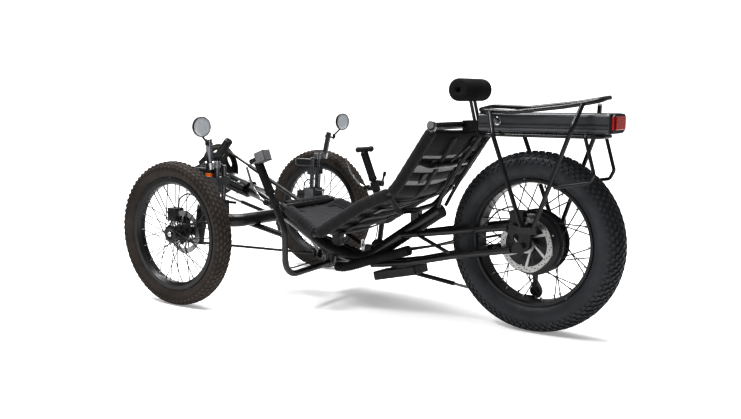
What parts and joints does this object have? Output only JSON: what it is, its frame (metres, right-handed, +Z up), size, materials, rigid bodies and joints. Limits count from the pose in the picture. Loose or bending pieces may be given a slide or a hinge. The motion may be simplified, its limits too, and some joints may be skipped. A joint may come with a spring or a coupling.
{
  "type": "adult tricycle",
  "caption": "Recumbent adult tricycle: two steered front wheels, a fat driven rear wheel, a sling seat, under-seat steering, a rear rack with a battery.",
  "frame": {"origin": "on the ground, midway along and across the tricycle", "axes": "+X forward, +Y to the rider's left, +Z up"},
  "size_m": [1.9623, 0.914, 0.8215],
  "materials": {
    "black_frame": "satin black paint",
    "black_steel": "satin black",
    "bright_metal": "polished",
    "tyre": "matt",
    "rear_tyre": "matt",
    "black_plastic": "semi-matt",
    "rubber_grip": "matt",
    "foam": "matt",
    "fabric": "woven mesh",
    "battery_case": "satin graphite",
    "red_lens": "glossy",
    "lamp": "semi-gloss",
    "mirror": "mirror with black shell",
    "motor": "satin black",
    "chain": "oiled",
    "sleeve": "ribbed neoprene"
  },
  "bodies": {
    "frame": {"main_tube": "black_frame", "idler_bracket": "black_frame", "boom_clamp": "black_frame", "cross_beam": "black_frame", "frame_fittings": "black_frame", "boom": "black_frame", "rear_stays": "black_frame", "dropouts": "black_steel", "accessory_posts": "black_frame", "headlights": "lamp", "chain": "chain", "chain_tubes": "black_plastic", "rear_caliper": "black_steel", "controller_box": "black_plastic", "cable_sleeve": "sleeve", "seat_frame": "black_frame", "seat_sling": "fabric", "seat_stays": "black_frame", "headrest_clamp": "black_plastic", "rack": "black_frame", "bright_fittings": "bright_metal", "derailleur": "chain"},
    "rear_wheel": {"rear_tyre": "rear_tyre", "rear_rim": "black_frame", "rear_spokes": "black_steel", "hub_motor": "motor"},
    "cassette": {"cassette": "chain"},
    "idler": {"idler": "black_plastic"},
    "upper_jockey": {"upper_jockey": "black_plastic"},
    "lower_jockey": {"lower_jockey": "black_plastic"},
    "steering": {"handlebar": "black_frame", "steering_stem": "black_steel", "grips": "rubber_grip", "controls": "black_plastic"},
    "shift_lever": {"shift_lever": "black_plastic"},
    "crank": {"crankset": "black_frame", "chainring": "black_frame"},
    "headrest": {"headrest_posts": "bright_metal", "headrest_roller": "foam"},
    "battery": {"battery": "battery_case", "tail_light": "red_lens"},
    "battery_lock": {"battery_lock": "bright_metal"},
    "left_knuckle": {"left_knuckle": "black_steel"},
    "left_front_wheel": {"left_front_tyre": "tyre", "left_front_rim": "black_frame", "left_front_spokes": "black_steel", "left_front_hub": "black_frame"},
    "left_tie_rod": {"left_tie_rod": "bright_metal"},
    "left_brake_lever": {"left_brake_lever": "bright_metal"},
    "left_mirror": {"left_mirror": "mirror"},
    "left_pedal": {"left_pedal": "black_plastic"},
    "right_knuckle": {"right_knuckle": "black_steel"},
    "right_front_wheel": {"right_front_tyre": "tyre", "right_front_rim": "black_frame", "right_front_spokes": "black_steel", "right_front_hub": "black_frame"},
    "right_tie_rod": {"right_tie_rod": "bright_metal"},
    "right_brake_lever": {"right_brake_lever": "bright_metal"},
    "right_mirror": {"right_mirror": "mirror"},
    "right_pedal": {"right_pedal": "black_plastic"}
  },
  "joints": [
    {"name": "rear_wheel_spin", "type": "hinge", "parent": "frame", "child": "rear_wheel", "pos_m": [-0.688, 0, 0.295], "axis": [0, 1, 0], "continuous": true},
    {"name": "crank_spin", "type": "hinge", "parent": "frame", "child": "crank", "pos_m": [0.805, 0, 0.455], "axis": [0, 1, 0], "continuous": true},
    {"name": "cassette_spin", "type": "hinge", "parent": "frame", "child": "cassette", "pos_m": [-0.688, -0.06, 0.295], "axis": [0, 1, 0], "continuous": true},
    {"name": "idler_spin", "type": "hinge", "parent": "frame", "child": "idler", "pos_m": [-0.026, -0.062, 0.202], "axis": [0, 1, 0], "continuous": true},
    {"name": "upper_jockey_spin", "type": "hinge", "parent": "frame", "child": "upper_jockey", "pos_m": [-0.664, -0.062, 0.2], "axis": [0, 1, 0], "continuous": true},
    {"name": "lower_jockey_spin", "type": "hinge", "parent": "frame", "child": "lower_jockey", "pos_m": [-0.663, -0.062, 0.118], "axis": [0, 1, 0], "continuous": true},
    {"name": "steering_pivot", "type": "hinge", "parent": "frame", "child": "steering", "pos_m": [0.152, 0, 0.15], "axis": [-0.1908, 0, 0.9816], "range_deg": [-25, 25]},
    {"name": "left_kingpin", "type": "hinge", "parent": "frame", "child": "left_knuckle", "pos_m": [0.527, 0.318, 0.265], "axis": [-0.1908, 0, 0.9816], "range_deg": [-25, 25]},
    {"name": "left_front_wheel_spin", "type": "hinge", "parent": "left_knuckle", "child": "left_front_wheel", "pos_m": [0.541, 0.426, 0.265], "axis": [0, 1, 0], "continuous": true},
    {"name": "left_tie_rod_pivot", "type": "hinge", "parent": "steering", "child": "left_tie_rod", "pos_m": [0.22071, 0.018, 0.16336], "axis": [-0.1908, 0, 0.9816], "range_deg": [-25, 25]},
    {"name": "left_brake_lever_pivot", "type": "hinge", "parent": "steering", "child": "left_brake_lever", "pos_m": [0.198, 0.304, 0.392], "axis": [0, -1, 0], "range_deg": [0, 20], "stiffness_Nm_per_rad": 0.6, "springref_deg": -34.38},
    {"name": "left_mirror_swivel", "type": "hinge", "parent": "frame", "child": "left_mirror", "pos_m": [0.422, 0.374, 0.588], "axis": [0, 0, 1], "range_deg": [-35, 35]},
    {"name": "right_kingpin", "type": "hinge", "parent": "frame", "child": "right_knuckle", "pos_m": [0.527, -0.318, 0.265], "axis": [-0.1908, 0, 0.9816], "range_deg": [-25, 25]},
    {"name": "right_front_wheel_spin", "type": "hinge", "parent": "right_knuckle", "child": "right_front_wheel", "pos_m": [0.541, -0.426, 0.265], "axis": [0, 1, 0], "continuous": true},
    {"name": "right_tie_rod_pivot", "type": "hinge", "parent": "steering", "child": "right_tie_rod", "pos_m": [0.22071, -0.018, 0.16336], "axis": [-0.1908, 0, 0.9816], "range_deg": [-25, 25]},
    {"name": "right_brake_lever_pivot", "type": "hinge", "parent": "steering", "child": "right_brake_lever", "pos_m": [0.198, -0.304, 0.392], "axis": [0, -1, 0], "range_deg": [0, 20], "stiffness_Nm_per_rad": 0.6, "springref_deg": -34.38},
    {"name": "right_mirror_swivel", "type": "hinge", "parent": "frame", "child": "right_mirror", "pos_m": [0.422, -0.374, 0.588], "axis": [0, 0, 1], "range_deg": [-35, 35]},
    {"name": "left_pedal_spin", "type": "hinge", "parent": "crank", "child": "left_pedal", "pos_m": [0.66508, 0.13, 0.51439], "axis": [0, 1, 0], "continuous": true},
    {"name": "right_pedal_spin", "type": "hinge", "parent": "crank", "child": "right_pedal", "pos_m": [0.94492, -0.13, 0.39561], "axis": [0, 1, 0], "continuous": true},
    {"name": "gear_shift", "type": "hinge", "parent": "steering", "child": "shift_lever", "pos_m": [0.16298, -0.3577, 0.40856], "axis": [0, 1, 0], "range_deg": [-18, 18]},
    {"name": "headrest_height", "type": "slide", "parent": "frame", "child": "headrest", "axis": [0.2362, 0, 0.9717], "range_m": [0, 0.06]},
    {"name": "battery_slide", "type": "slide", "parent": "frame", "child": "battery", "axis": [-1, 0, 0], "range_m": [0, 0.3]},
    {"name": "battery_key", "type": "hinge", "parent": "battery", "child": "battery_lock", "pos_m": [-0.57, 0.056, 0.684], "axis": [0, 1, 0], "range_deg": [0, 90]}
  ],
  "couplings": [
    {"joint": "cassette_spin", "follows": "crank_spin", "ratio": 2.6703},
    {"joint": "idler_spin", "follows": "crank_spin", "ratio": -3.24},
    {"joint": "upper_jockey_spin", "follows": "crank_spin", "ratio": -4.4182},
    {"joint": "lower_jockey_spin", "follows": "crank_spin", "ratio": 4.4182},
    {"joint": "left_kingpin", "follows": "steering_pivot", "ratio": 1},
    {"joint": "right_kingpin", "follows": "steering_pivot", "ratio": 1},
    {"joint": "left_tie_rod_pivot", "follows": "steering_pivot", "ratio": -1},
    {"joint": "right_tie_rod_pivot", "follows": "steering_pivot", "ratio": -1}
  ]
}
